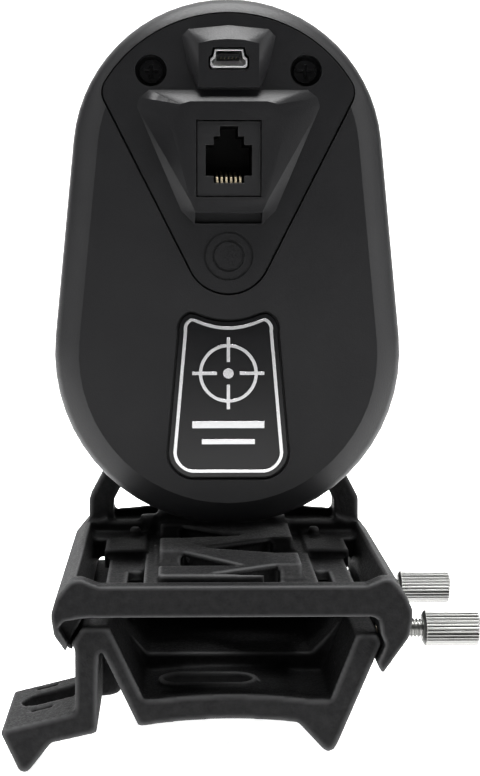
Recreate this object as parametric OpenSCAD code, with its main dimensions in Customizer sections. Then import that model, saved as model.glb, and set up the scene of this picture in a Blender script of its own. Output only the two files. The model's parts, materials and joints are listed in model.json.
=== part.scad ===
// Sky-alignment camera on a sliding finder shoe, with a cast dovetail base for a round tube.
// Millimetres. +Z is up, away from the tube. +Y is the way the lens looks, -Y the port side.
// X = 0 is the camera's symmetry plane. Z = 0 is the level of the tube's crown.

/* [Camera body] */
// Radius of the body's lower lobe
low_lobe_r = 36.9; // [36.2:0.1:37.6]
// Radius of the body's upper lobe
up_lobe_r = 32.9; // [32.2:0.1:33.4]
// Wall thickness of the two shells
shell_wall = 2.6; // [2.2:0.1:3]
// Width of the bevel round the port face
face_bevel = 5.5; // [4.8:0.1:6]

/* [Ports] */
// Height of the modular jack's outer face
jack_h = 15.6; // [15.2:0.1:16]
// Width of the modular jack's outer face
jack_w = 13.2; // [12.8:0.1:13.6]
// How far the jack pod stands out of the port face
pod_rise = 3; // [2.4:0.1:3.4]

/* [Optics] */
// Outer radius of the lens barrel
barrel_r = 24.6; // [24:0.1:24.8]
// Radius of the dew shield's front rim
shield_r = 30; // [29:0.2:31]
// Radius of the glass elements
lens_r = 14.4; // [14:0.1:14.6]

/* [Shoe] */
// Length of the shoe along the tube, to its lens end
shoe_front_y = 36; // [34:0.5:38]
// Thickness of the serpentine relief on the deck
ribbon_h = 2.8; // [2:0.1:3]
// Radial clearance of the clamp screws in the skirt
screw_clearance = 0.05; // [0.03:0.01:0.08]

/* [Clamp screws] */
// Knob diameter
knob_d = 7.1; // [6.6:0.1:7.6]
// Knob length
knob_len = 11.5; // [10:0.5:12]
// Distance of each screw from the shoe's middle
screw_y = 18; // [16:0.5:20]

/* [Base] */
// Depth of the side leg and its foot along the tube
foot_len = 26.2; // [25:0.2:27]
// Width of the elongated hole in the foot
foot_slot_w = 8; // [7:0.5:9]
// Width of the fixing slot in the channel floor
fixing_slot_w = 6.4; // [5.5:0.1:6.6]

/* [Hidden] */
$fn = 96;
eps = 0.01;

// camera body
low_z = 72.5;
up_z = 114.67;
arc_steps = 30;
lobe_tilt = asin((low_lobe_r - up_lobe_r) / (up_z - low_z));
port_y = -2;
seam_y = 15;
seal_t = 1;
optic_z = 86.5;
bevel_y = 4;
bevel_profile = [[face_bevel, port_y], [1.5, 0.4], [0.45, 2], [0, bevel_y]];
nose_y = 19;
nose_profile = [[0, nose_y], [1.6, 22.5], [5.5, 25.6], [9.6, 27 - 0.02]];
floor_y = 1.4;

// port insert
insert_z = 113.7;
insert_r = 30.2;
insert_side_x = 7.6;
insert_side_z = 89.9;
insert_side_tilt = 26.87;
insert_foot_z = 94.2;
insert_corner_r = 4;
insert_t = 2.6;
groove = 0.4;
side_nx = cos(insert_side_tilt);
side_nz = -sin(insert_side_tilt);
side_c = side_nx * insert_side_x + side_nz * insert_side_z;
insert_foot_r = side_c - side_nz * insert_foot_z;
corner_reach = insert_r - insert_corner_r;
corner_k = side_c - insert_corner_r - side_nz * insert_z;
corner_phi = acos(corner_k / corner_reach);
corner_x = corner_reach * cos(corner_phi - insert_side_tilt);
corner_z = insert_z + corner_reach * sin(corner_phi - insert_side_tilt);
insert_screw_x = 16.2;
insert_screw_z = 132;
recess_r = 3.3;
recess_depth = 4;

// jack and USB socket
jack_z = 113.6;
jack_front_y = port_y - pod_rise + 0.4;
jack_depth = 15.5;
contact_z = 108.5;
usb_z = 134.3;
usb_w = 7.7;
usb_h = 3.9;
usb_front_y = -4.2;
usb_depth = 9;
pod_gap = 0.15;

// badge
badge_depth = 1;
badge_y = port_y + badge_depth;
badge_top_z = 78;
badge_top_r = 2.4;
badge_foot_z = 52.1;
badge_foot_r = 4.6;
badge_corner_x = 7;
badge_dip_z = 78.5;

// barrel and optics
collar_r = 26;
collar_y = 31;
barrel_y = 64;
shield_y = 60;
shield_front_y = 95;
cell_r = lens_r + 3;
cell_y0 = 35;
cell_y1 = 64;
pad_z = 59.5;
pad_w = 26;
pad_y0 = 33;
pad_y1 = 56;
arch_screw_y = [39, 50];

// electronics
board_t = 1.6;
main_board_y = 12;
main_board_w = 46;
main_board_z0 = 62;
main_board_z1 = 127;
board_screw_x = 19.5;
board_screw_z = [66, 123];
sensor_y = 29.4;

// shoe
shoe_rear_y = -32;
rim_z = 31.7;
beam_z = 30.4;
ceiling_z = 25;
pocket_y0 = -28;
pocket_y1 = 27.5;
deck_x = 17.6;
deck_z = 28.5;
strip_z = 27.2;
tie_y = -4;
ledge_z = 29.2;
ribbon_x = 14.6;
ribbon_y0 = -26;
fold_x = 10;
ramp_run = 2.4;
hollow_run = 2;
lip_t = 1.1;
folds = [[-1, 10.9, 25.4, [3.6, 13.2]], [1, -5, 10.6, [-5, 0.4]],
    [-1, -17.2, -2.8, [3, -17.4]], [1, -26, -15.8, [-4.5, -24.6]]];
arm_y0 = 28.5;
arm_y1 = 36.5;
arch_top_z = pad_z;
arch_y1 = 56;

// clamp screws
screw_z = 18.5;
shank_r = 2;
bore_r = shank_r + screw_clearance;
knob_x = 38.7;
tip_x = 29.45;
tip_r = 1.5;
tip_len = 1.6;
boss_x = 35.3;
boss_r = 3.2;

// base
base_y0 = -30;
base_y1 = 32;
plateau_y = -10;
plateau_z = 11.5;
foot_tilt = 13.5;
foot_slot_y = -13.6;
saddle_r = 112;
fixing_y = -20;
fixing_x = -4.6;
fixing_len = 17.6;
lip_z = 9.3;
plate_t = 1.5;
plate_z = 23.4;
boss_x_base = -26.8;
boss_y_base = 0.9;

// ---------- helpers ----------

// Extrudes an (x, z) outline from y0 to y1
module along_y(y0, y1) {
    translate([0, y1, 0]) rotate([90, 0, 0]) linear_extrude(y1 - y0) children();
}

// Extrudes a (y, z) outline from x0 to x1
module along_x(x0, x1) {
    translate([x0, 0, 0]) rotate([90, 0, 90]) linear_extrude(x1 - x0) children();
}

module y_cylinder(x, z, r, y0, y1) {
    translate([x, y0, z]) rotate([-90, 0, 0]) cylinder(r = r, h = y1 - y0);
}

module x_cylinder(y, z, r, x0, x1) {
    translate([x0, y, z]) rotate([0, 90, 0]) cylinder(r = r, h = x1 - x0);
}

module z_cylinder(x, y, r, z0, z1) {
    translate([x, y, z0]) cylinder(r = r, h = z1 - z0);
}

module box(x0, x1, y0, y1, z0, z1) {
    translate([x0, y0, z0]) cube([x1 - x0, y1 - y0, z1 - z0]);
}

module both_sides() {
    children();
    mirror([1, 0, 0]) children();
}

// Turns a list of [radius, y] points about an axis along Y
module turned(z, points) {
    translate([0, 0, z]) rotate([-90, 0, 0]) rotate_extrude() polygon(points);
}

// Points on an arc of radius r about (0, z), from angle a0 to a1
function arc_points(r, z, a0, a1) =
    [for (i = [0:arc_steps]) [r * cos(a0 + (a1 - a0) * i / arc_steps),
        z + r * sin(a0 + (a1 - a0) * i / arc_steps)]];

// Two-lobed egg outline, drawn in by inset: two arcs joined by their tangents
module egg_outline(inset = 0) {
    polygon(concat(arc_points(up_lobe_r - inset, up_z, lobe_tilt, 180 - lobe_tilt),
        arc_points(low_lobe_r - inset, low_z, 180 - lobe_tilt, 360 + lobe_tilt)));
}

// Hull of egg outlines. profile is a list of [inset, y]
module egg_hull(profile) {
    slice = 0.02;
    hull()
        for (p = profile)
            along_y(p[1], p[1] + slice) egg_outline(p[0]);
}

// ---------- camera body ----------

// Keystone outline of the port insert, grown outwards by g
module insert_outline(g = 0) {
    arc_k = (insert_r + g) / corner_reach;
    arc_x = arc_k * corner_x;
    arc_z = insert_z + arc_k * (corner_z - insert_z);
    line_x = corner_x + (insert_corner_r + g) * side_nx;
    line_z = corner_z + (insert_corner_r + g) * side_nz;
    foot_x = (insert_foot_r + g) * side_nx;
    foot_z = insert_foot_z + (insert_foot_r + g) * side_nz;
    translate([0, insert_foot_z]) circle(insert_foot_r + g);
    translate([corner_x, corner_z]) circle(insert_corner_r + g);
    translate([-corner_x, corner_z]) circle(insert_corner_r + g);
    polygon([[foot_x, foot_z], [line_x, line_z], [corner_x, corner_z], [arc_x, arc_z],
        [-arc_x, arc_z], [-corner_x, corner_z], [-line_x, line_z], [-foot_x, foot_z]]);
    intersection() {
        translate([0, insert_z]) circle(insert_r + g);
        translate([-insert_r, arc_z]) square([2 * insert_r, insert_r]);
    }
}

// Right half of the badge's rounded shield, grown outwards by g
function badge_half(g) = concat(
    [for (x = [0:1.1:6.6]) [x, badge_dip_z + g + x * x / 30]],
    [for (a = [72:-12:-12]) [badge_corner_x + (badge_top_r + g) * cos(a),
        badge_top_z + (badge_top_r + g) * sin(a)]],
    [for (a = [-4:-11:-81]) [badge_corner_x + (badge_foot_r + g) * cos(a),
        badge_foot_z + (badge_foot_r + g) * sin(a)]]);

module badge_outline(g = 0) {
    half = badge_half(g);
    polygon(concat(half, [for (i = [len(half) - 1:-1:1]) [-half[i][0], half[i][1]]]));
}

module rear_shell() {
    color("#26272a")
    difference() {
        union() {
            difference() {
                union() {
                    egg_hull(bevel_profile);
                    along_y(bevel_y, seam_y) egg_outline();
                }
                along_y(floor_y, seam_y + 1) egg_outline(face_bevel + 1);
                along_y(floor_y + 2.4, seam_y + 1) egg_outline(shell_wall + 0.9);
                along_y(floor_y + 4.4, seam_y + 1) egg_outline(shell_wall);
            }
            for (s = [-1, 1]) {
                // posts for the insert screws
                y_cylinder(s * insert_screw_x, insert_screw_z, recess_r + 1.6, floor_y - eps, 9);
                // pillars that the main board is screwed to
                for (z = board_screw_z)
                    y_cylinder(s * board_screw_x, z, 2.6, floor_y - eps, main_board_y);
                // pillars for the screws that close the shells
                y_cylinder(s * 27.5, 62, 3, floor_y + 1.5, seam_y);
                y_cylinder(s * 24.8, 128, 3, floor_y + 1.5, seam_y);
            }
        }
        along_y(port_y - 1, 0.6) insert_outline(groove);
        along_y(0.5, floor_y + eps) insert_outline(-2.2);
        along_y(port_y - 1, badge_y) badge_outline(1.5);
        for (s = [-1, 1]) {
            y_cylinder(s * insert_screw_x, insert_screw_z, recess_r + 1 + 0.15, -1, 5.2);
            y_cylinder(s * insert_screw_x, insert_screw_z, 1.25, 5, 10);
            for (z = board_screw_z)
                y_cylinder(s * board_screw_x, z, 1.1, 6, main_board_y + 1);
            y_cylinder(s * 27.5, 62, 1.1, 6, seam_y + 1);
            y_cylinder(s * 24.8, 128, 1.1, 6, seam_y + 1);
        }
    }
}

module shell_seal() {
    color("#101012")
    along_y(seam_y, seam_y + seal_t) difference() {
        egg_outline(0.8);
        egg_outline(shell_wall - 0.2);
    }
}

module front_shell() {
    color("#26272a")
    difference() {
        union() {
            difference() {
                union() {
                    along_y(seam_y + seal_t, nose_y + eps) egg_outline();
                    egg_hull(nose_profile);
                }
                along_y(seam_y, 18.6) egg_outline(shell_wall);
                along_y(seam_y, 21) egg_outline(shell_wall + 1.6);
                along_y(seam_y, 24.4) egg_outline(shell_wall + 6);
            }
            y_cylinder(0, optic_z, collar_r, 24, collar_y);
            for (s = [-1, 1]) {
                y_cylinder(s * 27.5, 62, 3, seam_y + seal_t, 21.6);
                y_cylinder(s * 24.8, 128, 3, seam_y + seal_t, 21);
            }
        }
        y_cylinder(0, optic_z, collar_r - 3.4, 23, collar_y + 1);
        for (s = [-1, 1]) {
            y_cylinder(s * 27.5, 62, 1.3, seam_y, 28);
            y_cylinder(s * 27.5, 62, 2.4, 19, 28);
            y_cylinder(s * 24.8, 128, 1.3, seam_y, 28);
            y_cylinder(s * 24.8, 128, 2.4, 19, 28);
        }
    }
}

// Cross-recess pan-head screw along +Y, the head's seat at the origin
module small_screw(thread_r, thread_len, head_r, head_h) {
    difference() {
        rotate([90, 0, 0]) union() {
            cylinder(r = head_r, h = head_h);
            translate([0, 0, -thread_len]) cylinder(r = thread_r, h = thread_len + eps);
        }
        for (a = [0, 90])
            rotate([0, a, 0]) translate([-head_r * 0.6, -head_h - eps, -0.3])
                cube([head_r * 1.2, head_h * 0.6, 0.6]);
    }
}

module shell_screws() {
    color("#8d8f92")
    for (s = [-1, 1], p = [[27.5, 62], [24.8, 128]])
        translate([s * p[0], 19, p[1]]) mirror([0, 1, 0]) small_screw(1.05, 11, 2.1, 1.5);
}

// ---------- ports ----------

module usb_pod() {
    hull() {
        along_y(port_y - eps, port_y)
            polygon([[-6.6, 128.2], [6.6, 128.2], [8.5, 132.6], [9.8, 139.1], [8.4, 140.6],
                [0, 141.4], [-8.4, 140.6], [-9.8, 139.1], [-8.5, 132.6]]);
        along_y(port_y - 2.4, port_y - 2.3)
            polygon([[-6.3, 128.3], [6.3, 128.3], [6.3, 137.4], [3.2, 138.1], [0, 138.3],
                [-3.2, 138.1], [-6.3, 137.4]]);
    }
}

module jack_pod() {
    hull() {
        along_y(port_y - eps, port_y)
            polygon([[-7, 99.9], [7, 99.9], [9.9, 102.8], [19.1, 124.4], [18.6, 126.4],
                [16.6, 128], [-16.6, 128], [-18.6, 126.4], [-19.1, 124.4], [-9.9, 102.8]]);
        along_y(port_y - pod_rise, port_y - pod_rise + 0.1)
            polygon([[-7, 102.6], [7, 102.6], [8, 104.8], [12.4, 121.6], [11.7, 123.5],
                [10.2, 124.8], [8, 125.4], [-8, 125.4], [-10.2, 124.8], [-11.7, 123.5],
                [-12.4, 121.6], [-8, 104.8]]);
    }
}

module port_insert() {
    disc_z = 93.4;
    color("#242528")
    difference() {
        union() {
            along_y(port_y, port_y + insert_t) insert_outline();
            usb_pod();
            jack_pod();
            for (s = [-1, 1])
                y_cylinder(s * insert_screw_x, insert_screw_z, recess_r + 1, port_y + 1, 5);
        }
        for (s = [-1, 1]) {
            y_cylinder(s * insert_screw_x, insert_screw_z, recess_r, port_y - 1,
                port_y + recess_depth);
            y_cylinder(s * insert_screw_x, insert_screw_z, 1.4, port_y, 6);
        }
        box(-jack_w / 2 - pod_gap, jack_w / 2 + pod_gap, port_y - 5, 5,
            jack_z - jack_h / 2 - pod_gap, jack_z + jack_h / 2 + pod_gap);
        along_y(port_y - 5, 5) usb_outline(0.35);
        // drain slot under the jack pod
        box(-7, 7, port_y - pod_rise - 1, port_y + 1.2, 100.1, 102.3);
        // embossed rings below the jack
        for (r = [5.2, 3.4])
            difference() {
                y_cylinder(0, disc_z, r, port_y - 1, port_y + 0.3);
                y_cylinder(0, disc_z, r - 0.5, port_y - 2, port_y + 1);
            }
    }
}

module insert_screws() {
    color("#1a1a1c")
    for (s = [-1, 1])
        translate([s * insert_screw_x, port_y + recess_depth, insert_screw_z])
            small_screw(1.2, 6.5, 2.5, 1.6);
}

// Opening of the modular socket: a main cavity with two steps up to the latch notch
module jack_opening() {
    main_w = 9.6;
    step_w = 6.3;
    catch_w = 3.8;
    main_z = 110;
    translate([-main_w / 2, main_z]) square([main_w, 6.4]);
    translate([-step_w / 2, contact_z]) square([step_w, main_z - contact_z + 8.2]);
    translate([-catch_w / 2, main_z]) square([catch_w, 10.3]);
}

module jack_housing() {
    color("#151517")
    difference() {
        box(-jack_w / 2, jack_w / 2, jack_front_y, jack_front_y + jack_depth,
            jack_z - jack_h / 2, jack_z + jack_h / 2);
        along_y(jack_front_y - 1, jack_front_y + jack_depth - 2.5) jack_opening();
    }
}

module jack_contacts() {
    count = 6;
    pitch = 0.97;
    contact_w = 0.44;
    tail_z = contact_z + 0.4;
    front = jack_front_y + 0.4;
    color("#c9a54a")
    for (i = [0:count - 1])
        translate([(i - (count - 1) / 2) * pitch - contact_w / 2, 0, 0]) {
            box(0, contact_w, front, jack_front_y + jack_depth - 2.5, contact_z + 0.02, tail_z);
            along_x(0, contact_w)
                polygon([[front, tail_z - 0.1], [front, tail_z + 0.8], [front + 0.4, tail_z + 0.8],
                    [front + 6.8, tail_z + 2.2], [front + 7.1, tail_z + 1.9],
                    [front + 0.9, tail_z - 0.1]]);
        }
}

// Mini USB outline, wider at the bottom than at the top, grown by g
module usb_outline(g = 0) {
    w = usb_w / 2 + g;
    h = usb_h / 2 + g;
    translate([0, usb_z])
        polygon([[-w + 0.5, -h], [w - 0.5, -h], [w, -h + 0.5], [w, h - 2], [w - 0.6, h - 1.5],
            [w - 0.9, h], [-w + 0.9, h], [-w + 0.6, h - 1.5], [-w, h - 2], [-w, -h + 0.5]]);
}

module usb_shell() {
    color("#b9bbbe")
    difference() {
        along_y(usb_front_y, usb_front_y + usb_depth) usb_outline();
        along_y(usb_front_y - 1, usb_front_y + usb_depth - 1) usb_outline(-0.35);
    }
}

module usb_tongue() {
    color("#1b1b1d")
    difference() {
        box(-2.4, 2.4, usb_front_y + 0.6, usb_front_y + usb_depth - 1, usb_z + 0.2, usb_z + 1);
        for (i = [-2:2])
            box(i * 0.8 - 0.15, i * 0.8 + 0.15, usb_front_y, usb_front_y + 6, usb_z,
                usb_z + 0.4);
    }
}

module port_board() {
    color("#1f4a2e")
    difference() {
        box(-9, 9, 1.6, main_board_y - 0.2, 130.4, 130.4 + board_t);
        z_cylinder(-6.6, 9, 1, 129, 133);
        z_cylinder(6.6, 9, 1, 129, 133);
    }
}

// ---------- badge ----------

module badge_plate() {
    color("#0b0b0d") along_y(port_y + 0.25, badge_y) badge_outline(1);
}

module badge_trim() {
    color("#c8cacd")
    along_y(port_y - 0.05, port_y + 0.25) difference() {
        badge_outline(0);
        badge_outline(-0.7);
    }
}

// A generic sight mark over two plain bars
module badge_emblem() {
    centre_z = 68.6;
    ring_r = 6.2;
    color("#c8cacd")
    along_y(port_y - 0.05, port_y + 0.25) {
        translate([0, centre_z]) difference() {
            circle(ring_r);
            circle(ring_r - 0.7);
        }
        translate([0, centre_z]) circle(1.1);
        for (a = [0, 90, 180, 270])
            translate([0, centre_z]) rotate(a) translate([2.4, -0.35]) square([5.2, 0.7]);
        translate([-7.6, 57]) square([15.2, 1.5]);
        translate([-5.6, 53.6]) square([11.2, 1.1]);
    }
}

// ---------- electronics ----------

module main_board() {
    hole_r = 1.25;
    color("#1f4a2e")
    difference() {
        box(-main_board_w / 2, main_board_w / 2, main_board_y, main_board_y + board_t,
            main_board_z0, main_board_z1);
        for (s = [-1, 1], z = board_screw_z)
            y_cylinder(s * board_screw_x, z, hole_r, main_board_y - 1, main_board_y + 3);
    }
}

module board_chips() {
    top = main_board_y + board_t;
    color("#141416") {
        box(-8, 6, top, top + 1.4, 84, 98);
        box(10, 18, top, top + 1.1, 76, 88);
        box(-16, -11, top, top + 1, 100, 110);
        box(4, 14, top, top + 1.2, 104, 110);
    }
}

module board_screws() {
    color("#8d8f92")
    for (s = [-1, 1], z = board_screw_z)
        translate([s * board_screw_x, main_board_y + board_t, z])
            mirror([0, 1, 0]) small_screw(1.05, 6, 1.9, 1.3);
}

module sensor_board() {
    color("#1f4a2e")
    difference() {
        box(-14, 14, sensor_y, sensor_y + board_t, optic_z - 13, optic_z + 13);
        for (s = [-1, 1])
            y_cylinder(s * 11, optic_z + 10, 1.1, sensor_y - 1, sensor_y + 3);
    }
}

module sensor_chip() {
    face = sensor_y + board_t;
    color("#3a3a44")
    difference() {
        box(-7, 7, face, face + 1.4, optic_z - 5.5, optic_z + 5.5);
        box(-5, 5, face + 1, face + 2, optic_z - 4, optic_z + 4);
    }
}

module infrared_filter() {
    face = sensor_y + board_t + 1.5;
    color("#7fb6c4", 0.5) box(-7, 7, face, face + 0.8, optic_z - 5.5, optic_z + 5.5);
}

module flex_cable() {
    color("#b06a24")
    along_x(-5, 5)
        polygon([[main_board_y + board_t, 74.5], [26, 74.5], [26, 77], [sensor_y, 77],
            [sensor_y, 77.3], [25.7, 77.3], [25.7, 74.8], [main_board_y + board_t, 74.8]]);
}

// ---------- lens barrel ----------

module lens_barrel() {
    color("#202124")
    difference() {
        union() {
            turned(optic_z, [[0, collar_y], [collar_r, collar_y], [collar_r, collar_y + 2],
                [barrel_r, collar_y + 3.4], [barrel_r, 50], [barrel_r - 0.8, 50.8],
                [barrel_r - 0.8, 52], [barrel_r, 52.8], [barrel_r, barrel_y], [0, barrel_y]]);
            box(-pad_w / 2, pad_w / 2, pad_y0, pad_y1, pad_z, optic_z - 20);
        }
        y_cylinder(0, optic_z, cell_r + 1.6, collar_y - 1, barrel_y - 24);
        y_cylinder(0, optic_z, cell_r + 0.05, collar_y, barrel_y + 1);
        for (y = arch_screw_y)
            z_cylinder(0, y, 2.02, pad_z - 1, pad_z + 6);
    }
}

module dew_shield() {
    color("#202124")
    turned(optic_z, [[barrel_r + 0.05, shield_y], [barrel_r + 1.6, shield_y],
        [barrel_r + 2, shield_y + 1], [barrel_r + 2, 66], [shield_r - 1.6, 88],
        [shield_r, 89], [shield_r, shield_front_y - 0.8], [shield_r - 0.8, shield_front_y],
        [shield_r - 2, shield_front_y], [shield_r - 2, 88], [barrel_r - 1, 68],
        [barrel_r - 1, barrel_y + 0.1], [barrel_r + 0.05, barrel_y + 0.1]]);
}

module lens_cell() {
    color("#1a1a1c")
    turned(optic_z, [[lens_r + 0.03, cell_y0 + 2], [lens_r + 0.03, cell_y1],
        [cell_r, cell_y1], [cell_r, cell_y0], [lens_r - 2, cell_y0], [lens_r - 2, cell_y0 + 2]]);
}

// Glass element turned from its edge thickness and the sag of each side
module lens_element(y0, edge, sag_back, sag_front) {
    clear_r = lens_r - 2.2;
    steps = 8;
    bow = [for (i = [0:steps]) [clear_r * i / steps, 1 - (i / steps) * (i / steps)]];
    color("#a9c8d4", 0.35)
    turned(optic_z, concat([for (b = bow) [b[0], y0 - sag_back * b[1]]],
        [[lens_r, y0], [lens_r, y0 + edge]],
        [for (i = [steps:-1:0]) [bow[i][0], y0 + edge + sag_front * bow[i][1]]]));
}

module lens_front() {
    lens_element(55, 3, -1, 2.4);
}

module lens_second() {
    lens_element(49.6, 3, 1.2, -1.6);
}

module lens_third() {
    lens_element(43, 2.4, -0.9, 1.8);
}

module lens_rear() {
    lens_element(37.4, 2.6, -0.8, 1.5);
}

module lens_spacers() {
    color("#0f0f11")
    for (span = [[40.1, 42.9], [45.5, 49.5], [52.7, 54.9]])
        turned(optic_z, [[lens_r - 1.5, span[0]], [lens_r - 0.05, span[0]],
            [lens_r - 0.05, span[1]], [lens_r - 1.5, span[1]]]);
}

module lens_retainer() {
    color("#3c3d40")
    difference() {
        turned(optic_z, [[lens_r - 2, 58.1], [lens_r - 0.05, 58.1], [lens_r - 0.05, 61],
            [lens_r - 1.2, 61]]);
        for (s = [-1, 1])
            box(s * (lens_r - 1) - 1.2, s * (lens_r - 1) + 1.2, 60, 62, optic_z - 0.6,
                optic_z + 0.6);
    }
}

module lens_cap() {
    color("#18181a")
    turned(optic_z, [[0, shield_front_y + 0.4], [shield_r + 0.35, shield_front_y + 0.4],
        [shield_r + 0.35, 90], [shield_r + 1.6, 90], [shield_r + 1.6, shield_front_y + 1.4],
        [shield_r + 0.6, shield_front_y + 2.2], [14, shield_front_y + 2.2],
        [13, shield_front_y + 1.6], [0, shield_front_y + 1.6]]);
}

// ---------- shoe and bracket ----------

module shoe_outline() {
    polygon([[-30.4, rim_z], [-31.6, rim_z - 0.4], [-34.3, 28], [-35.1, 25.2], [-35.1, 23.5],
        [-34.6, 20.8], [-32.3, 17.5], [-31.4, 16.9], [-20, 20], [20, 20], [27.9, 15], [29, 13],
        [34.1, 20.1], [34.7, 22.8], [34.8, 25.6], [33.6, 28.3], [31.2, rim_z - 0.5],
        [30.2, rim_z]]);
}

// Channel that slides on the base's rails
module channel_outline() {
    polygon([[-31.4, 16], [-31.1, 17.6], [-31.86, 18.4], [-31.86, 18.8], [-29.76, 22.2],
        [-29, 23.8], [-27.2, ceiling_z], [26.9, ceiling_z], [28.3, 23.6], [28.55, 20.9],
        [29.45, 18.9], [29.45, 18.5], [27.95, 15], [27.9, 12], [20, 10], [-31.4, 10]]);
}

// Wider mouth of the channel at the port end
module mouth_outline() {
    polygon([[-32.2, 17], [-32, 19], [-33.8, 22.2], [-32.6, 23.6], [-27.2, 24.3],
        [26.9, 24.3], [28.2, 23.6], [28.6, 20.9], [29.45, 18.9], [29.45, 18.5],
        [27.95, 15], [27.9, 12], [20, 10], [-32.2, 10]]);
}

// Wedge pocket between two folds of the serpentine, open towards side s; the pocket's wide end
// lies between y0 and y1 and its point at tip
module fold_gap(s, y0, y1, tip) {
    polygon([[s * fold_x, y0], [tip[0], tip[1]], [s * fold_x, y1]]);
}

// Notch at the end of a fold, out to the relief's edge
module fold_notch(s, y0, y1) {
    x = s > 0 ? fold_x - eps : -ribbon_x - 1;
    translate([x, y0]) square([ribbon_x + 1 - fold_x + eps, y1 - y0]);
}

// Serpentine relief that folds back and forth across the deck
module ribbon_outline() {
    difference() {
        translate([-ribbon_x, ribbon_y0]) square([2 * ribbon_x, pocket_y1 - ribbon_y0]);
        for (f = folds) {
            fold_gap(f[0], f[1], f[2], f[3]);
            fold_notch(f[0], f[1], f[2]);
        }
    }
}

// Slanted end face of each fold, which runs down to the deck inside its notch
module fold_ramps() {
    for (f = folds)
        along_x(f[0] > 0 ? fold_x : -ribbon_x, f[0] > 0 ? ribbon_x : -fold_x)
            polygon([[f[2] + 0.1, deck_z - eps], [f[2] + 0.1, deck_z + ribbon_h],
                [f[2] - ramp_run, deck_z - eps]]);
}

module deck() {
    box(-deck_x, deck_x, pocket_y0, pocket_y1, ceiling_z, deck_z);
    translate([0, 0, deck_z - eps]) linear_extrude(ribbon_h) ribbon_outline();
    fold_ramps();
    both_sides() {
        // floor strip beside the deck, its two cross ties and the ledge at the lens end
        box(21, 25.4, pocket_y0, pocket_y1, ceiling_z, strip_z);
        box(deck_x - eps, 25.4, tie_y, pocket_y1, ceiling_z, strip_z);
        box(deck_x - eps, 26.6, 8, pocket_y1, ceiling_z, ledge_z);
        box(25, 30, 20, pocket_y1, ceiling_z, ledge_z);
        z_cylinder(20.3, 24.4, 1.3, ceiling_z, ledge_z + 1.8);
    }
}

// Beam across the lens end, which carries the two arms
module end_beam() {
    crown_z = 34.4;
    recess_y1 = shoe_front_y - 1.8;
    post_top = 33;
    difference() {
        along_y(pocket_y1, shoe_front_y)
            polygon([[-31, ceiling_z], [31, ceiling_z], [31, 31], [25, 33.2], [12, crown_z],
                [-12, crown_z], [-25, 33.2], [-31, 31]]);
        box(-26.8, -15.2, pocket_y1 - 1, recess_y1, ledge_z, crown_z + 1);
        box(9.4, 25.6, pocket_y1 - 1, recess_y1, ledge_z, crown_z + 1);
    }
    z_cylinder(-17.2, pocket_y1 + 1.6, 1.9, ledge_z - 1, post_top);
    z_cylinder(11.8, pocket_y1 + 1.6, 2.2, ledge_z - 1, post_top);
}

// Two arms that lean in over the beam and carry the camera's seat
module arch() {
    along_y(arm_y0, arm_y1) difference() {
        polygon([[-31, 26], [-31, 36.8], [-19, arch_top_z], [19, arch_top_z], [31, 36.8], [31, 26]]);
        polygon([[-25.4, 29], [-25.4, 36.3], [-15.4, 55], [15.4, 55], [25.4, 36.3], [25.4, 29]]);
    }
    box(-16.5, 16.5, arm_y0, arch_y1, 55, arch_top_z);
    both_sides()
        along_x(13, 16.5)
            polygon([[arm_y0, 49], [arm_y1, 49], [arch_y1 - 4, 55.1], [arch_y1 - 4, 57],
                [arm_y0, 57]]);
}

module bracket() {
    color("#2a2b2d")
    difference() {
        union() {
            difference() {
                along_y(shoe_rear_y, shoe_front_y) shoe_outline();
                along_y(pocket_y0, pocket_y1)
                    polygon([[-30.6, rim_z + 1], [-30.6, rim_z], [-28, ceiling_z - 2],
                        [28, ceiling_z - 2], [30.3, rim_z], [30.3, rim_z + 1]]);
                along_y(shoe_rear_y - 1, pocket_y0 + 1)
                    polygon([[-31.6, rim_z + 1], [-26, beam_z], [26, beam_z], [31.2, rim_z + 1]]);
            }
            deck();
            end_beam();
            arch();
            for (y = [-screw_y, screw_y])
                x_cylinder(y, screw_z, boss_r, 30.5, boss_x);
        }
        along_y(shoe_rear_y + 4, shoe_front_y + 1) channel_outline();
        along_y(shoe_rear_y - 1, shoe_rear_y + 4.1) mouth_outline();
        translate([0, 0, ceiling_z - 1]) linear_extrude(deck_z + ribbon_h)
            for (f = folds)
                fold_gap(f[0], f[1] + 0.5, f[2] - 0.5, f[3]);
        // hollow under each fold, behind its pocket
        translate([0, hollow_run, ceiling_z - 1])
            linear_extrude(deck_z + ribbon_h - lip_t - ceiling_z + 1)
                for (f = folds)
                    fold_gap(f[0], f[1] + 2, f[2] - 0.5, f[3]);
        for (y = [-screw_y, screw_y])
            x_cylinder(y, screw_z, bore_r, 26, boss_x + 1);
        for (y = arch_screw_y)
            z_cylinder(0, y, 2.25, 54, arch_top_z + 1);
    }
}

module arch_screws() {
    head_r = 3.5;
    color("#1a1a1c")
    for (y = arch_screw_y)
        difference() {
            union() {
                z_cylinder(0, y, head_r, 51, 54.9);
                z_cylinder(0, y, 1.98, 54.8, pad_z + 5);
            }
            translate([0, y, 50]) cylinder(r = 1.7, h = 3, $fn = 6);
        }
}

// ---------- clamp screws ----------

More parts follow.
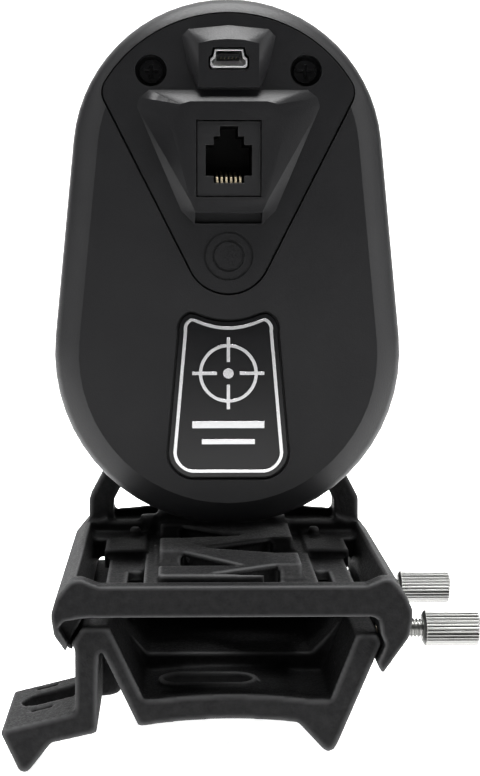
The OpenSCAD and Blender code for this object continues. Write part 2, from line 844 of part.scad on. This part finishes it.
// Thumbscrew along X: threaded shank, collar and knob with chamfered ends
module clamp_screw(y) {
    color("#c9cbcd")
    translate([0, y, screw_z]) rotate([0, 90, 0]) difference() {
        rotate_extrude() polygon([[0, tip_x + tip_len], [shank_r - 0.4, tip_x + tip_len],
            [shank_r, tip_x + tip_len + 0.4], [shank_r, knob_x], [knob_d / 2 - 0.5, knob_x],
            [knob_d / 2, knob_x + 0.5], [knob_d / 2, knob_x + knob_len - 0.5],
            [knob_d / 2 - 0.5, knob_x + knob_len], [0, knob_x + knob_len]]);
        translate([0, 0, tip_x - 1]) cylinder(r = 0.85, h = tip_len + 3.4);
    }
}

// Pad that swivels in the screw's end and presses on the rail
module clamp_pad(y) {
    color("#b08d45")
    translate([0, y, screw_z]) rotate([0, 90, 0]) {
        translate([0, 0, tip_x]) cylinder(r = tip_r, h = tip_len - 0.1);
        translate([0, 0, tip_x + tip_len - 0.2]) cylinder(r = 0.8, h = 2);
    }
}

module clamp_screw_port_end() {
    clamp_screw(-screw_y);
}

module clamp_pad_port_end() {
    clamp_pad(-screw_y);
}

module clamp_screw_lens_end() {
    clamp_screw(screw_y);
}

module clamp_pad_lens_end() {
    clamp_pad(screw_y);
}

// ---------- base ----------

// Large circle that the floor's crown or the hollow under it follows, through crown_z
module saddle_arc(crown_z) {
    translate([-0.5, crown_z - saddle_r]) circle(saddle_r, $fn = 360);
}

module rail_outline() {
    difference() {
        union() {
            polygon([[-25.6, 17.3], [-17.2, 0], [15.49, 0], [17.8, -2.5], [18.7, -2.9],
                [19.8, -2.5], [20.6, -1.1], [27.2, 14.2], [29.1, 18.6], [28.2, 20.5],
                [24.2, 20.5], [19.1, 7.5], [-17.3, 7.7], [-23.9, 21.6], [-24.5, 22],
                [-29.2, 22], [-31.6, 18.6], [-30.4, 17.3]]);
            intersection() {
                saddle_arc(8.6);
                translate([-17, 6]) square([35, 4]);
            }
        }
        intersection() {
            saddle_arc(3.7);
            polygon([[-20, -1], [-20, 6], [9.95, 6], [15.49, 0], [15.4, -1]]);
        }
    }
}

module leg_outline() {
    polygon([[-30.7, 18], [-26, 18], [-26.5, 1.1], [-35.4, -0.9], [-39.6, -6.2],
        [-40.6, -6.8], [-41.7, -6.2], [-45.1, 0.8], [-45.1, 1.7], [-30.7, 5.2]]);
}

// Oval fixing hole or its lip in the channel floor, grown outwards by g
module fixing_outline(g = 0) {
    half = (fixing_len - fixing_slot_w) / 2;
    r = fixing_slot_w / 2 + g;
    translate([fixing_x, fixing_y]) {
        translate([-half, -r]) square([2 * half, 2 * r]);
        for (s = [-1, 1])
            translate([s * half, 0]) circle(r);
    }
}

module dovetail_base() {
    foot_y1 = base_y0 + foot_len;
    color("#2a2b2d")
    difference() {
        union() {
            along_y(base_y0, base_y1) rail_outline();
            along_y(base_y0, foot_y1) leg_outline();
            along_y(plateau_y, base_y1)
                polygon([[-18, 7], [-22.6, 18], [-21.4, 16.4], [-17, plateau_z],
                    [17, plateau_z], [21, 15.6], [22.8, 18], [19, 7]]);
            z_cylinder(boss_x_base, boss_y_base, 3.9, 0.2, 17.6);
            translate([0, 0, 7]) linear_extrude(lip_z - 7) fixing_outline(1.2);
        }
        z_cylinder(boss_x_base, boss_y_base, 1.65, -1, 12.2);
        translate([0, 0, -1]) linear_extrude(14) fixing_outline();
        translate([-45.1, 0, 1.7]) rotate([0, -foot_tilt, 0]) translate([0, 0, -12]) {
            linear_extrude(14) {
                translate([2.7 + foot_slot_w / 2, foot_slot_y]) circle(foot_slot_w / 2);
                translate([2.7 + foot_slot_w / 2, foot_slot_y - foot_slot_w / 2])
                    square([7.2, foot_slot_w]);
                for (y = [-21, -6.2])
                    translate([5.2, y - 0.8]) square([4.4, 1.6]);
            }
        }
    }
}

// Plate over the lens end of the channel, with its two screw heads
module end_plate() {
    head_r = 2;
    head_x = 12;
    head_z = 9.6;
    color("#2a2b2d") {
        along_y(base_y1, base_y1 + plate_t)
            polygon([[-18.5, 4.6], [-25.4, 20], [-24, 22.6], [-21, plate_z], [21, plate_z],
                [24.4, 20], [20, 7], [18, 4.6]]);
        both_sides()
            y_cylinder(head_x, head_z, head_r, base_y1 + plate_t - 0.1, base_y1 + plate_t + 0.9);
    }
}

rear_shell();
front_shell();
shell_seal();
shell_screws();
port_insert();
insert_screws();
jack_housing();
jack_contacts();
usb_shell();
usb_tongue();
port_board();
badge_plate();
badge_trim();
badge_emblem();
main_board();
board_chips();
board_screws();
sensor_board();
sensor_chip();
infrared_filter();
flex_cable();
lens_barrel();
dew_shield();
lens_cell();
lens_front();
lens_second();
lens_third();
lens_rear();
lens_spacers();
lens_retainer();
lens_cap();
bracket();
arch_screws();
clamp_screw_port_end();
clamp_pad_port_end();
clamp_screw_lens_end();
clamp_pad_lens_end();
dovetail_base();
end_plate();
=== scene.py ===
import json
import math

import bmesh
import bpy
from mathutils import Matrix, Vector


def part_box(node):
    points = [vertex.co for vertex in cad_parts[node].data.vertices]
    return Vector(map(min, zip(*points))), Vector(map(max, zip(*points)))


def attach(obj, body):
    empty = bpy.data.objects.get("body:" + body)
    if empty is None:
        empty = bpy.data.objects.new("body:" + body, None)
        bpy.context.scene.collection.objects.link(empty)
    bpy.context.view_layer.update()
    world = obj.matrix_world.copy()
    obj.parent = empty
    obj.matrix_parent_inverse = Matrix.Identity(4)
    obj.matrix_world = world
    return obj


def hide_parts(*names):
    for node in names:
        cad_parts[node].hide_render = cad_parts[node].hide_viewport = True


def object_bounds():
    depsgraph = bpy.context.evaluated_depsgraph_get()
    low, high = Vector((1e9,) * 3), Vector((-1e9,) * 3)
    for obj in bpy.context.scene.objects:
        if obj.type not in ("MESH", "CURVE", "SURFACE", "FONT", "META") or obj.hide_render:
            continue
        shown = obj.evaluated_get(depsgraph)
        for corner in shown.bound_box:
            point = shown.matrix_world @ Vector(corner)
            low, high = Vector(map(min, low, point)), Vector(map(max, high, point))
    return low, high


MM = 0.001
CREASE = math.radians(29)
FLAT = math.radians(0.6)
WELD = 0.002 * MM
KNOB_LENGTH = 11.5 * MM
KNURL_TEETH = 30
KNURL_DEPTH = 0.36 * MM
THREAD_PITCH = 0.7 * MM
THREAD_CREST = 2.0 * MM
THREAD_DEPTH = 0.42 * MM
CAP_RIBS = 72

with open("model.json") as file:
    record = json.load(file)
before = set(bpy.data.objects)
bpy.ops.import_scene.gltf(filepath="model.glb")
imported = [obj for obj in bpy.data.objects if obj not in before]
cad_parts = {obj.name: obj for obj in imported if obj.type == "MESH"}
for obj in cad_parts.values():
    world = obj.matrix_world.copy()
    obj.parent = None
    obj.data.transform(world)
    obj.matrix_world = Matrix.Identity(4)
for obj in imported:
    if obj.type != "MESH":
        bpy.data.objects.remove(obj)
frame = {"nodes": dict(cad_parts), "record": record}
cad_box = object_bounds()


# ---------- mesh helpers ----------

def new_piece(name, bm, slot, body):
    """Turns a bmesh into an object of one material slot that rides on a CAD body."""
    mesh = bpy.data.meshes.new(name)
    bm.to_mesh(mesh)
    bm.free()
    mesh.materials.append(MATERIALS[slot])
    piece = bpy.data.objects.new(name, mesh)
    bpy.context.collection.objects.link(piece)
    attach(piece, body)
    return piece


def body_of_node(node):
    for body, nodes in frame["record"]["behaviour"]["bodies"].items():
        if node in nodes:
            return body
    raise KeyError(node)


def slot_of_node(node):
    for part in frame["record"]["subparts"]:
        if part["node"] == node:
            return part["material_slot"]
    raise KeyError(node)


def welded(node):
    """The CAD node's shape as one mesh without doubled points."""
    bm = bmesh.new()
    bm.from_mesh(frame["nodes"][node].data)
    bmesh.ops.remove_doubles(bm, verts=bm.verts, dist=WELD)
    return bm


def shade_smooth(bm):
    for face in bm.faces:
        face.smooth = True


def mark_creases(bm, angle=CREASE):
    """Shades the mesh smooth but for its edges sharper than angle."""
    shade_smooth(bm)
    for edge in bm.edges:
        if len(edge.link_faces) == 2 and edge.calc_face_angle(0) > angle:
            edge.smooth = False


def soften_edges(piece, width):
    """Rounds the sharp edges of a piece over the given width."""
    bevel = piece.modifiers.new("soft_edges", "BEVEL")
    bevel.width = width
    bevel.segments = 2
    bevel.limit_method = "ANGLE"
    bevel.angle_limit = CREASE
    bevel.use_clamp_overlap = True
    bevel.harden_normals = True


def dress(node, edge):
    """A finished copy of a CAD node: flat areas joined, smooth shaded, with softened edges."""
    bm = welded(node)
    bmesh.ops.dissolve_limit(bm, angle_limit=FLAT, verts=bm.verts, edges=bm.edges)
    mark_creases(bm)
    piece = new_piece(node + "_finished", bm, slot_of_node(node), body_of_node(node))
    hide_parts(node)
    if edge:
        soften_edges(piece, edge)


def cast(node):
    """A sand-cast copy of a CAD node: remeshed and smoothed, so that its corners are round."""
    bm = welded(node)
    shade_smooth(bm)
    piece = new_piece(node + "_casting", bm, slot_of_node(node), body_of_node(node))
    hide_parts(node)
    remesh = piece.modifiers.new("sand", "REMESH")
    remesh.mode = "VOXEL"
    remesh.voxel_size = 0.45 * MM
    remesh.use_smooth_shade = True
    smooth = piece.modifiers.new("round", "SMOOTH")
    smooth.factor = 0.5
    smooth.iterations = 4


# ---------- material helpers ----------

class Shader:
    """A Principled material with short calls for the nodes that it needs."""

    def __init__(self, name, rough, metal=0.0):
        self.material = bpy.data.materials.new(name)
        self.material.use_nodes = True
        self.tree = self.material.node_tree
        self.surface = self.tree.nodes["Principled BSDF"]
        self.set("Metallic", metal)
        self.set("Roughness", rough)
        self.coordinates = self.tree.nodes.new("ShaderNodeTexCoord").outputs["Object"]

    def link(self, output, node, socket):
        self.tree.links.new(output, node.inputs[socket])

    def set(self, socket, value):
        """Sets one of the surface's own sockets, which stays the same all over."""
        self.surface.inputs[socket].default_value = value

    def noise(self, scale_mm, detail=3.0):
        """Noise whose blobs are about scale_mm across."""
        node = self.tree.nodes.new("ShaderNodeTexNoise")
        self.link(self.coordinates, node, "Vector")
        node.inputs["Scale"].default_value = 1.0 / (scale_mm * MM)
        node.inputs["Detail"].default_value = detail
        return node.outputs["Fac"]

    def cells(self, scale_mm):
        """Cells about scale_mm across, darkest at their centres."""
        node = self.tree.nodes.new("ShaderNodeTexVoronoi")
        self.link(self.coordinates, node, "Vector")
        node.inputs["Scale"].default_value = 1.0 / (scale_mm * MM)
        return node.outputs["Distance"]

    def along_y(self):
        """The object's own Y coordinate, in metres."""
        parts = self.tree.nodes.new("ShaderNodeSeparateXYZ")
        self.link(self.coordinates, parts, "Vector")
        return parts.outputs["Y"]

    def remap(self, value, low, high, from_low=0.3, from_high=0.7):
        """Stretches from_low..from_high to low..high, and holds it there beyond."""
        node = self.tree.nodes.new("ShaderNodeMapRange")
        self.link(value, node, "Value")
        node.inputs["From Min"].default_value = from_low
        node.inputs["From Max"].default_value = from_high
        node.inputs["To Min"].default_value = low
        node.inputs["To Max"].default_value = high
        return node.outputs["Result"]

    def colours(self, value, dark, light, low=0.3, high=0.7):
        """Blends the base colour from dark at low to light at high."""
        node = self.tree.nodes.new("ShaderNodeValToRGB")
        self.link(value, node, "Fac")
        node.color_ramp.elements[0].position = low
        node.color_ramp.elements[0].color = (*dark, 1)
        node.color_ramp.elements[1].position = high
        node.color_ramp.elements[1].color = (*light, 1)
        self.link(node.outputs["Color"], self.surface, "Base Color")

    def worn_and_highlit_edges(self, colour, start, end):
        """Lightens the convex edges of a dense mesh over the colour already linked: partly a worn
        coating, partly a painted highlight along the edges.
        """
        geometry = self.tree.nodes.new("ShaderNodeNewGeometry")
        edge_wear_and_highlight = self.remap(geometry.outputs["Pointiness"], 0.0, 1.0, start, end)
        under = self.surface.inputs["Base Color"].links[0].from_socket
        mix = self.tree.nodes.new("ShaderNodeMix")
        mix.data_type = "RGBA"
        self.tree.links.new(edge_wear_and_highlight, mix.inputs[0])
        colour_a, colour_b = [i for i in mix.inputs if i.type == "RGBA"]
        self.tree.links.new(under, colour_a)
        colour_b.default_value = (*colour, 1)
        result = [o for o in mix.outputs if o.type == "RGBA"][0]
        self.link(result, self.surface, "Base Color")

    def roughness(self, value, low, high):
        self.link(self.remap(value, low, high), self.surface, "Roughness")

    def bump(self, heights):
        """heights is a list of (value, depth in mm)."""
        normal = None
        for value, depth_mm in heights:
            node = self.tree.nodes.new("ShaderNodeBump")
            node.inputs["Distance"].default_value = depth_mm * MM
            node.inputs["Strength"].default_value = 1.0
            self.link(value, node, "Height")
            if normal:
                self.link(normal, node, "Normal")
            normal = node.outputs["Normal"]
        self.link(normal, self.surface, "Normal")


def textured_plastic(name, dark, light, rough, grain_mm=0.35, depth_mm=0.03):
    """Moulded plastic with a fine spark-eroded texture."""
    s = Shader(name, rough)
    grain = s.noise(grain_mm, 4.0)
    cloud = s.noise(14.0, 2.0)
    s.colours(cloud, dark, light)
    s.roughness(grain, rough - 0.06, rough + 0.08)
    s.bump([(grain, depth_mm)])
    s.set("Specular IOR Level", 0.32)
    return s.material


def powder_coat(name):
    """Black powder coat over a sand casting: orange peel over a coarser grain."""
    s = Shader(name, 0.6)
    peel = s.noise(0.45, 4.0)
    sand = s.noise(1.6, 5.0)
    s.colours(sand, (0.010, 0.010, 0.0105), (0.018, 0.018, 0.0185))
    # Lighter convex edges: partly worn powder coat, partly a painted highlight on the edges.
    s.worn_and_highlit_edges((0.075, 0.075, 0.076), 0.505, 0.545)
    s.roughness(peel, 0.50, 0.72)
    s.bump([(sand, 0.10), (peel, 0.08)])
    s.set("Specular IOR Level", 0.16)
    return s.material


def gloss_plastic(name, colour, rough):
    """Polished plastic with a faint uneven haze."""
    s = Shader(name, rough)
    haze = s.noise(6.0, 3.0)
    s.colours(haze, tuple(c * 0.85 for c in colour), tuple(c * 1.15 for c in colour))
    s.roughness(haze, rough * 0.8, rough * 1.3)
    s.bump([(s.noise(2.5, 2.0), 0.004)])
    return s.material


def jack_plastic(name):
    """Grey moulding whose socket turns black and dull with depth: painted shade inside the socket.
    """
    s = Shader(name, 0.4)
    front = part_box("jack_housing")[0].y
    # Painted shade: the colour darkens to black from 0.3 mm to 2.5 mm into the socket.
    depth = s.remap(s.along_y(), 0.0, 1.0, front + 0.3 * MM, front + 2.5 * MM)
    grain = s.noise(0.5, 3.0)
    s.colours(depth, (0.022, 0.022, 0.023), (0.001, 0.001, 0.001), 0.0, 1.0)
    s.roughness(grain, 0.34, 0.5)
    s.bump([(grain, 0.01)])
    s.set("Specular IOR Level", 0.3)
    return s.material


def bright_metal(name, colour, rough):
    """Bare or plated metal with a fine uneven finish."""
    s = Shader(name, rough, 1.0)
    lines = s.noise(0.3, 6.0)
    s.colours(lines, tuple(c * 0.9 for c in colour), colour)
    s.roughness(lines, rough * 0.75, rough * 1.3)
    s.bump([(lines, 0.004)])
    return s.material


def glass(name, tint):
    """Clear glass with a pale coating."""
    s = Shader(name, 0.03)
    haze = s.noise(5.0, 2.0)
    s.colours(haze, tuple(c * 0.96 for c in tint), tint)
    s.roughness(haze, 0.01, 0.04)
    s.set("Transmission Weight", 1.0)
    s.set("IOR", 1.52)
    s.set("Coat Weight", 0.4)
    s.set("Coat Tint", (0.75, 0.85, 1.0, 1))
    return s.material


def circuit_green(name):
    """Solder-masked board with a mottled pattern in place of its tracks."""
    s = Shader(name, 0.35)
    tracks = s.cells(2.2)
    s.colours(tracks, (0.010, 0.085, 0.035), (0.018, 0.14, 0.055), 0.1, 0.5)
    s.roughness(tracks, 0.28, 0.42)
    s.bump([(tracks, 0.02)])
    return s.material


def rubber(name):
    """Dull black rubber with a fine grain."""
    s = Shader(name, 0.75)
    grain = s.noise(0.5, 3.0)
    s.colours(grain, (0.008, 0.008, 0.009), (0.016, 0.016, 0.017))
    s.roughness(grain, 0.65, 0.85)
    s.bump([(grain, 0.02)])
    return s.material


def amber_film(name):
    """Amber film of a flexible cable."""
    s = Shader(name, 0.3)
    bands = s.noise(1.0, 1.0)
    s.colours(bands, (0.42, 0.19, 0.05), (0.55, 0.27, 0.08))
    s.roughness(bands, 0.22, 0.38)
    s.bump([(bands, 0.01)])
    return s.material


RECIPES = {
    "shell_plastic": (textured_plastic, (0.014, 0.014, 0.015), (0.018, 0.018, 0.019), 0.42),
    "insert_plastic": (textured_plastic, (0.013, 0.013, 0.014), (0.017, 0.017, 0.018), 0.40),
    "barrel_plastic": (textured_plastic, (0.022, 0.022, 0.024), (0.027, 0.027, 0.029), 0.38),
    "cell_plastic": (textured_plastic, (0.010, 0.010, 0.011), (0.015, 0.015, 0.016), 0.7),
    "cap_plastic": (textured_plastic, (0.018, 0.018, 0.020), (0.024, 0.024, 0.026), 0.45),
    "chip_plastic": (textured_plastic, (0.014, 0.014, 0.015), (0.019, 0.019, 0.020), 0.5,
                     0.2, 0.01),
    "jack_plastic": (jack_plastic,),
    "cast_black": (powder_coat,),
    "badge_gloss": (gloss_plastic, (0.006, 0.006, 0.007), 0.10),
    "badge_silver": (bright_metal, (0.80, 0.80, 0.81), 0.22),
    "knob_metal": (bright_metal, (0.36, 0.36, 0.35), 0.36),
    "screw_steel": (bright_metal, (0.55, 0.55, 0.56), 0.32),
    "socket_metal": (bright_metal, (0.92, 0.92, 0.93), 0.38),
    "gold_contact": (bright_metal, (0.95, 0.84, 0.62), 0.34),
    "pad_brass": (bright_metal, (0.78, 0.60, 0.30), 0.28),
    "ring_aluminium": (bright_metal, (0.10, 0.10, 0.105), 0.35),
    "black_screw": (gloss_plastic, (0.006, 0.006, 0.007), 0.26),
    "lens_glass": (glass, (0.86, 0.93, 0.97)),
    "filter_glass": (glass, (0.55, 0.82, 0.88)),
    "circuit_board": (circuit_green,),
    "seal_rubber": (rubber,),
    "flex_film": (amber_film,),
}
MATERIALS = {name: make(name, *values) for name, (make, *values) in RECIPES.items()}


# ---------- clamp screws ----------

def ring_loft(rings):
    """Joins rings of points, each a closed loop of the same length, and closes both ends."""
    bm = bmesh.new()
    loops = [[bm.verts.new(p) for p in ring] for ring in rings]
    for a, b in zip(loops, loops[1:]):
        count = len(a)
        for i in range(count):
            bm.faces.new((a[i], a[(i + 1) % count], b[(i + 1) % count], b[i]))
    bm.faces.new(list(reversed(loops[0])))
    bm.faces.new(loops[-1])
    bmesh.ops.recalc_face_normals(bm, faces=bm.faces)
    return bm


def x_ring(x, y, z, radius_at, steps):
    """Ring about the X axis line through (y, z); radius_at gives the radius at an angle."""
    points = []
    for i in range(steps):
        a = 2 * math.pi * i / steps
        r = radius_at(a)
        points.append((x, y + r * math.cos(a), z + r * math.sin(a)))
    return points


def screw_geometry(node):
    """Both ends, axis and knob radius of a clamp screw, from its CAD box."""
    low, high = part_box(node)
    y = (low.y + high.y) / 2
    z = (low.z + high.z) / 2
    radius = (high.z - low.z) / 2
    return low.x, high.x, y, z, radius


def knurled_knob(node, body):
    """Straight-knurled knob with chamfered ends and a dished outer face."""
    _, x1, y, z, radius = screw_geometry(node)
    start = x1 - KNOB_LENGTH
    steps = KNURL_TEETH * 8

    def knurl(scale):
        def radius_at(a):
            wave = 0.5 + 0.5 * math.cos(KNURL_TEETH * a)
            return radius - scale * KNURL_DEPTH * (1 - wave ** 0.7)
        return radius_at

    def plain(r):
        return lambda a: r

    stations = [
        (start, plain(1.2 * MM)), (start, plain(radius - 0.75 * MM)),
        (start + 0.12 * MM, plain(radius - 0.58 * MM)), (start + 0.5 * MM, knurl(0.25)),
        (start + 0.75 * MM, knurl(1.0)), (x1 - 0.75 * MM, knurl(1.0)),
        (x1 - 0.5 * MM, knurl(0.25)), (x1 - 0.1 * MM, plain(radius - 0.6 * MM)),
        (x1, plain(radius - 0.8 * MM)), (x1, plain(1.1 * MM)),
        (x1 - 0.25 * MM, plain(0.7 * MM)),
    ]
    bm = ring_loft([x_ring(x, y, z, r, steps) for x, r in stations])
    mark_creases(bm, math.radians(38))
    return new_piece(node + "_knob", bm, "knob_metal", body)


def threaded_shank(node, body):
    """Shank with a helical thread, tapered at its tip and relieved under the knob."""
    x0, x1, y, z, _ = screw_geometry(node)
    end = x1 - KNOB_LENGTH + 0.05 * MM
    steps = 40
    count = int((end - x0) / (THREAD_PITCH / 10))
    rings = []
    for i in range(count + 1):
        x = x0 + (end - x0) * i / count
        taper = min(1.0, (x - x0) / (0.5 * MM))
        relief = min(1.0, max(0.0, (end - x) / (0.6 * MM)))

        def radius_at(a, x=x, taper=taper, relief=relief):
            phase = ((x / THREAD_PITCH) - a / (2 * math.pi)) % 1.0
            ridge = min(1.0, abs(2 * phase - 1) * 1.25)
            return (THREAD_CREST - THREAD_DEPTH * ridge * relief - (1 - relief) * THREAD_DEPTH
                    - (1 - taper) * 0.25 * MM)
        rings.append(x_ring(x, y, z, radius_at, steps))
    bm = ring_loft(rings)
    shade_smooth(bm)
    new_piece(node + "_thread", bm, "knob_metal", body)


def clamp_screws():
    """Both clamp screws with their pads."""
    for end in ("port_end", "lens_end"):
        node = "clamp_screw_" + end
        body = "screw_" + end
        knob = knurled_knob(node, body)
        threaded_shank(node, body)
        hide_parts(node)
        dress("clamp_pad_" + end, 0.12 * MM)


# ---------- lens cap and socket details ----------

def cap_grip_ribs():
    """Fine ribs round the cap's rim, for grip, each a ridge with sloping ends."""
    low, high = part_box("lens_cap")
    centre = Vector(((low.x + high.x) / 2, 0, (low.z + high.z) / 2))
    rim = (high.x - low.x) / 2
    slope = Vector((0, 0.3 * MM, 0))
    ends = ((Vector((0, low.y + 0.5 * MM, 0)), slope), (Vector((0, high.y - 1.6 * MM, 0)), -slope))
    bm = bmesh.new()
    for i in range(CAP_RIBS):
        a = 2 * math.pi * i / CAP_RIBS
        out = Vector((math.cos(a), 0, math.sin(a)))
        side = Vector((-math.sin(a), 0, math.cos(a))) * 0.32 * MM
        foot = centre + out * (rim - 0.35 * MM)
        crest = centre + out * (rim - 0.02 * MM)
        near, far = [[bm.verts.new(foot - side + place), bm.verts.new(crest + place + inset),
                      bm.verts.new(foot + side + place)] for place, inset in ends]
        bm.faces.new((near[0], near[1], far[1], far[0]))
        bm.faces.new((near[1], near[2], far[2], far[1]))
        bm.faces.new((near[2], near[0], far[0], far[2]))
        bm.faces.new(near[::-1])
        bm.faces.new(far)
    bmesh.ops.recalc_face_normals(bm, faces=bm.faces)
    new_piece("cap_grip_ribs", bm, "cap_plastic", "cap")


def usb_contacts():
    """Five plated strips under the tongue of the mini USB socket, each chamfered at its tip."""
    low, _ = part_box("usb_tongue")
    half, thick = 0.15 * MM, 0.3 * MM
    y0, y1 = low.y + 0.3 * MM, low.y + 5.5 * MM
    z = low.z + 0.17 * MM
    outline = ((y0, z + 0.14 * MM), (y0 + 0.3 * MM, z), (y1, z), (y1, z + thick), (y0, z + thick))
    bm = bmesh.new()
    for i in range(-2, 3):
        x = i * 0.8 * MM
        left, right = [[bm.verts.new((x + side, y, height)) for y, height in outline]
                       for side in (-half, half)]
        bm.faces.new(left)
        bm.faces.new(right[::-1])
        for k in range(len(outline)):
            n = (k + 1) % len(outline)
            bm.faces.new((left[k], right[k], right[n], left[n]))
    bmesh.ops.recalc_face_normals(bm, faces=bm.faces)
    piece = new_piece("usb_contacts", bm, "gold_contact", "shoe")
    soften_edges(piece, 0.05 * MM)


# ---------- all the other nodes ----------

# Edge rounding in mm; a node that isn't named takes 0.1.
EDGES = {
    "rear_shell": 0.3, "front_shell": 0.3, "port_insert": 0.25, "jack_housing": 0.12,
    "badge_plate": 0.15, "lens_barrel": 0.3, "dew_shield": 0.3, "lens_cap": 0.35,
    "usb_shell": 0.06, "usb_tongue": 0.05, "jack_contacts": 0.05, "badge_trim": 0.06,
    "badge_emblem": 0.05,
}


def finish_nodes():
    """Casts the two castings and dresses every other node but the clamp screws and pads."""
    castings = {"bracket", "dovetail_base"}
    screws = {n for n in frame["nodes"] if n.startswith("clamp_")}
    for node in sorted(set(frame["nodes"]) - castings - screws):
        edge = EDGES.get(node, 0.1) * MM
        if node.startswith("lens_") and slot_of_node(node) == "lens_glass":
            edge = 0
        dress(node, edge)
    for node in sorted(castings):
        cast(node)


# ---------- stage ----------

def painted_glow_floor():
    """Pale floor made to glow as painted light: no glow in front of the object, rising to full
    glow behind it.
    """
    s = Shader("painted_glow_floor", 0.9)
    s.colours(s.noise(400.0, 2.0), (0.90, 0.90, 0.90), (0.93, 0.93, 0.93))
    s.set("Specular IOR Level", 0.1)
    s.set("Emission Color", (1, 1, 1, 1))
    # Painted glow: emission rises from none at Y -0.15 m to full at Y -0.06 m and beyond, though
    # the floor is no lamp.
    painted_glow = s.remap(s.along_y(), 0.0, 0.78, -0.15, -0.06)
    s.link(painted_glow, s.surface, "Emission Strength")
    return s.material


def studio_floor():
    """Pale floor that curves up into a backdrop."""
    level = cad_box[0].z - 0.0002
    width = 3.0
    bend = 0.5
    back = 1.4
    steps = 14
    rows = [(-1.6, level)]
    for i in range(steps + 1):
        a = math.pi / 2 * i / steps
        rows.append((back - bend + bend * math.sin(a), level + bend - bend * math.cos(a)))
    rows.append((back, 2.6))
    bm = bmesh.new()
    lines = [[bm.verts.new((side * width / 2, y, z)) for side in (-1, 1)] for y, z in rows]
    for a, b in zip(lines, lines[1:]):
        bm.faces.new((a[0], a[1], b[1], b[0]))
    shade_smooth(bm)
    mesh = bpy.data.meshes.new("studio_floor")
    bm.to_mesh(mesh)
    bm.free()
    floor = bpy.data.objects.new("studio_floor", mesh)
    bpy.context.collection.objects.link(floor)
    mesh.materials.append(painted_glow_floor())


def area_light(name, place, target, size, power):
    """Rectangular softbox at a place, turned to a target."""
    light = bpy.data.lights.new(name, "AREA")
    light.shape = "RECTANGLE"
    light.size = size[0]
    light.size_y = size[1]
    light.energy = power
    lamp = bpy.data.objects.new(name, light)
    bpy.context.collection.objects.link(lamp)
    lamp.location = place
    lamp.rotation_euler = (Vector(target) - Vector(place)).to_track_quat("-Z", "Y").to_euler()


def studio_light():
    """Soft boxes on both sides and above, one on the backdrop, and a faint even world."""
    world = bpy.data.worlds.new("studio")
    bpy.context.scene.world = world
    world.use_nodes = True
    background = world.node_tree.nodes["Background"]
    background.inputs["Color"].default_value = (1, 1, 1, 1)
    background.inputs["Strength"].default_value = 0.07
    middle = (cad_box[0] + cad_box[1]) / 2
    area_light("left_softbox", (-0.60, -0.16, 0.34), middle, (0.2, 0.7), 1.0)
    area_light("right_softbox", (0.60, -0.14, 0.34), middle, (0.3, 0.8), 2.0)
    area_light("top_softbox", (0.0, -0.06, 0.80), middle, (0.6, 0.4), 10)
    area_light("backdrop_light", (0.0, 0.55, 1.3), (0, 1.3, 0.25), (1.6, 0.5), 9)


def photo_camera():
    """The camera stands behind the port side, a little left and above the shoe."""
    data = bpy.data.cameras.new("camera")
    data.lens = 74.93
    data.sensor_width = 36
    data.shift_x = 0.0458
    data.shift_y = -0.132
    data.clip_start = 0.01
    data.clip_end = 20
    camera = bpy.data.objects.new("camera", data)
    bpy.context.collection.objects.link(camera)
    camera.location = (-0.01087, -0.34045, 0.10230)
    camera.rotation_euler = (math.radians(90 - 2.572), 0, math.radians(-0.989))
    bpy.context.scene.camera = camera


photo_camera()
clamp_screws()
finish_nodes()
cap_grip_ribs()
usb_contacts()
studio_floor()
studio_light()
view = bpy.context.scene.view_settings
view.view_transform = "Standard"
view.look = "Medium High Contrast"
bpy.context.view_layer.update()
